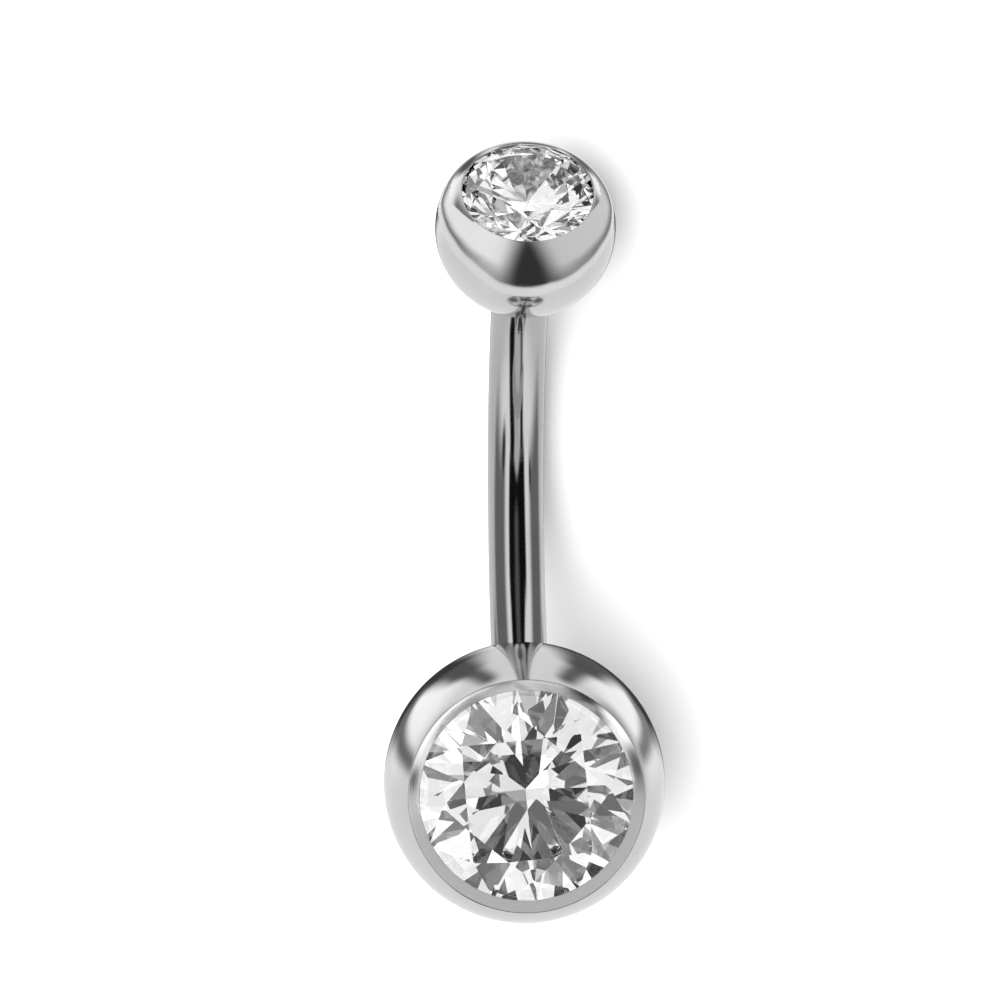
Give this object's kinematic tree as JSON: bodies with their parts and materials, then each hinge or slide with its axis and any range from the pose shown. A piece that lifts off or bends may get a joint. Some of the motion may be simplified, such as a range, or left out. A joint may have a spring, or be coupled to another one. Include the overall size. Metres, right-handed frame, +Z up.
{
  "type": "curved barbell",
  "caption": "Curved navel barbell in polished titanium with a clear round brilliant set in each ball, the small ball screwing off.",
  "frame": {"origin": "middle of the bounding box's base, on the surface that the barbell lies on", "axes": "+X along the barbell from the large ball to the small one, +Z up; the stones look towards -Y and up"},
  "size_m": [0.0222, 0.008, 0.0079],
  "materials": {
    "bar_titanium": "titanium bar, drawn, bent and polished to a mirror",
    "ball_titanium": "turned titanium, polished to a mirror",
    "cut_stone": "clear cubic zirconia, facets polished"
  },
  "bodies": {
    "barbell": {"curved_bar": "bar_titanium", "large_ball": "ball_titanium", "large_stone": "cut_stone"},
    "screw_ball": {"small_ball": "ball_titanium", "small_stone": "cut_stone"}
  },
  "joints": [
    {"name": "ball_unscrew", "type": "slide", "parent": "barbell", "child": "screw_ball", "axis": [0.8425, -0.4094, 0.3502], "range_m": [0, 0.003]}
  ]
}
